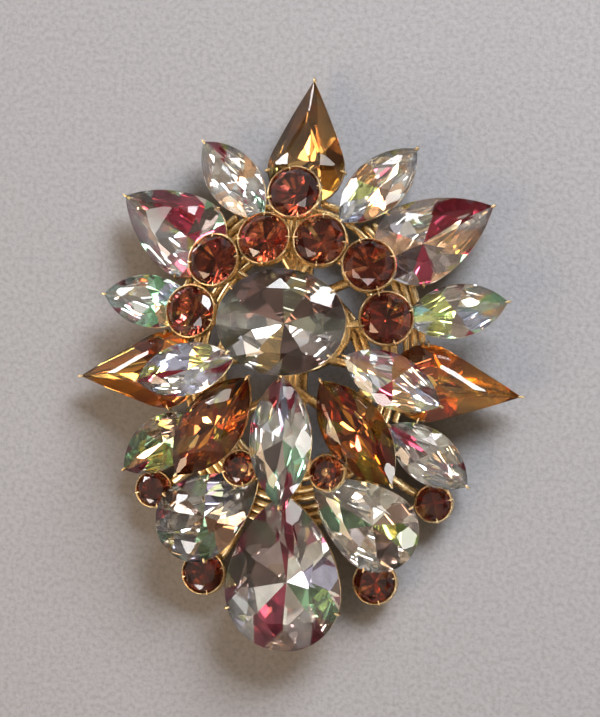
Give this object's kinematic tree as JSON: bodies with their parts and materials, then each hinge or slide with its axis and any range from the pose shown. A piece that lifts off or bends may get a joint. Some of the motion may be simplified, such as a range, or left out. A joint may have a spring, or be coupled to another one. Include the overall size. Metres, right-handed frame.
{
  "type": "brooch",
  "caption": "Crystal cluster brooch: faceted stones in stepped claw settings on a gold openwork frame, with a hinged pin and rotating safety catch behind.",
  "frame": {"origin": "on the surface that the brooch lies on, below the middle of its outline", "axes": "+Z out of the face, +Y towards the pear stone at the top, +X to the right seen from the front"},
  "size_m": [0.0516, 0.0648, 0.0156],
  "materials": {
    "gold_plate": "polished yellow gold plate on base metal",
    "pin_steel": "bright gold-washed wire",
    "amber_crystal": "foiled faceted amber glass",
    "topaz_crystal": "foiled faceted reddish-brown glass",
    "rainbow_crystal": "clear faceted glass with an iridescent coating, foiled behind",
    "smoky_crystal": "lightly smoked faceted glass, foiled behind"
  },
  "bodies": {
    "brooch_body": {"gem_pear_top": "amber_crystal", "setting_pear_top": "gold_plate", "gem_pear_side_right": "amber_crystal", "setting_pear_side_right": "gold_plate", "gem_pear_side_left": "amber_crystal", "setting_pear_side_left": "gold_plate", "gem_navette_upper_right": "rainbow_crystal", "setting_navette_upper_right": "gold_plate", "gem_navette_upper_left": "rainbow_crystal", "setting_navette_upper_left": "gold_plate", "gem_pear_upper_right": "rainbow_crystal", "setting_pear_upper_right": "gold_plate", "gem_pear_upper_left": "rainbow_crystal", "setting_pear_upper_left": "gold_plate", "gem_navette_side_right": "rainbow_crystal", "setting_navette_side_right": "gold_plate", "gem_navette_side_left": "rainbow_crystal", "setting_navette_side_left": "gold_plate", "gem_navette_lower_right": "rainbow_crystal", "setting_navette_lower_right": "gold_plate", "gem_navette_lower_left": "rainbow_crystal", "setting_navette_lower_left": "gold_plate", "gem_pear_lower_right": "rainbow_crystal", "setting_pear_lower_right": "gold_plate", "gem_pear_lower_left": "rainbow_crystal", "setting_pear_lower_left": "gold_plate", "gem_pear_bottom": "rainbow_crystal", "setting_pear_bottom": "gold_plate", "gem_navette_inner_right": "rainbow_crystal", "setting_navette_inner_right": "gold_plate", "gem_navette_inner_left": "rainbow_crystal", "setting_navette_inner_left": "gold_plate", "gem_navette_amber_right": "amber_crystal", "setting_navette_amber_right": "gold_plate", "gem_navette_amber_left": "amber_crystal", "setting_navette_amber_left": "gold_plate", "gem_navette_centre": "rainbow_crystal", "setting_navette_centre": "gold_plate", "gem_oval_centre": "smoky_crystal", "setting_oval_centre": "gold_plate", "gem_round_crescent_1": "topaz_crystal", "gem_round_crescent_2": "topaz_crystal", "gem_round_crescent_3": "topaz_crystal", "gem_round_crescent_4": "topaz_crystal", "gem_round_crescent_5": "topaz_crystal", "gem_round_crescent_6": "topaz_crystal", "gem_round_crescent_7": "topaz_crystal", "crescent_cups": "gold_plate", "gem_round_side_right": "topaz_crystal", "gem_round_side_left": "topaz_crystal", "gem_round_bottom_right": "topaz_crystal", "gem_round_bottom_left": "topaz_crystal", "gem_round_inner_right": "topaz_crystal", "gem_round_inner_left": "topaz_crystal", "back_frame": "gold_plate", "pin_bar": "gold_plate", "hinge_rivet": "pin_steel", "catch_housing": "gold_plate"},
    "pin_stem": {"pin_stem": "pin_steel"},
    "catch_rotor": {"catch_rotor": "gold_plate"}
  },
  "joints": [
    {"name": "pin_hinge", "type": "hinge", "parent": "brooch_body", "child": "pin_stem", "pos_m": [0, 0.0152, 0.0022], "axis": [1, 0, 0], "range_deg": [0, 95]},
    {"name": "catch_turn", "type": "hinge", "parent": "brooch_body", "child": "catch_rotor", "pos_m": [0, -0.013, 0.0022], "axis": [0, -1, 0], "range_deg": [0, 130]}
  ]
}
